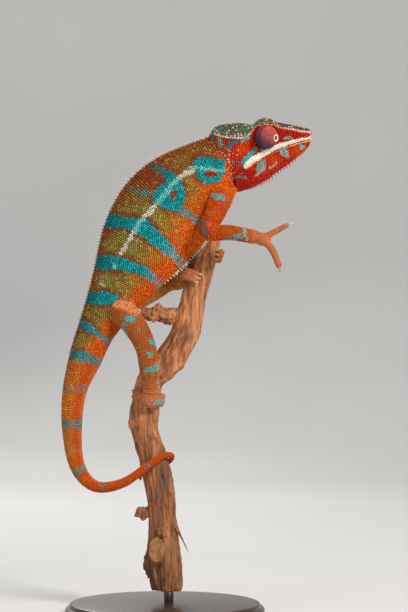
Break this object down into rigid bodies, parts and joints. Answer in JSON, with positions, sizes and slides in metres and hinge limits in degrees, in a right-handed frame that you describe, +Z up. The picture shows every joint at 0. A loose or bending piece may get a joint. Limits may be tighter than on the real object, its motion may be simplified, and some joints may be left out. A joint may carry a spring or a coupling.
{
  "type": "panther chameleon model",
  "caption": "Life-size still model of a male panther chameleon, orange-red with turquoise bars, climbing a short cut length of branch on a plain display stand.",
  "frame": {"origin": "centre of the stand base's underside, on the floor", "axes": "+Z up, +X the way the head looks, -Y towards the animal's right side"},
  "size_m": [0.1746, 0.14, 0.3477],
  "materials": {
    "skin": "granular scaly skin, orange and red with turquoise bars",
    "jaw": "granular scaly skin, deep red-orange",
    "eye": "finely scaled eye turret with a small glossy eye",
    "claw": "smooth pale horn",
    "branch_wood": "dry bare branch with fine weathered grain",
    "stand_wood": "dark stained wood, satin",
    "stand_steel": "brushed round bar"
  },
  "bodies": {
    "root": {"head": "skin", "lower_jaw": "jaw", "neck": "skin", "trunk": "skin", "tail_base": "skin", "tail_middle": "skin", "tail_bend": "skin", "tail_curl": "skin", "upper_arm_right": "skin", "forearm_right": "skin", "hand_right": "skin", "upper_arm_left": "skin", "forearm_left": "skin", "hand_left": "skin", "thigh_right": "skin", "shin_right": "skin", "foot_right": "skin", "thigh_left": "skin", "shin_left": "skin", "foot_left": "skin", "eye_right": "eye", "eye_left": "eye", "claw_foot_right_1": "claw", "claw_foot_right_2": "claw", "claw_foot_right_3": "claw", "claw_foot_right_4": "claw", "claw_foot_right_5": "claw", "claw_foot_left_1": "claw", "claw_foot_left_2": "claw", "claw_foot_left_3": "claw", "claw_foot_left_4": "claw", "claw_foot_left_5": "claw", "claw_hand_left_1": "claw", "claw_hand_left_2": "claw", "claw_hand_left_3": "claw", "claw_hand_left_4": "claw", "claw_hand_left_5": "claw", "claw_hand_right_1": "claw", "claw_hand_right_2": "claw", "claw_hand_right_3": "claw", "claw_hand_right_4": "claw", "claw_hand_right_5": "claw", "perch": "branch_wood", "stand_base": "stand_wood", "stand_rod": "stand_steel"}
  },
  "joints": []
}
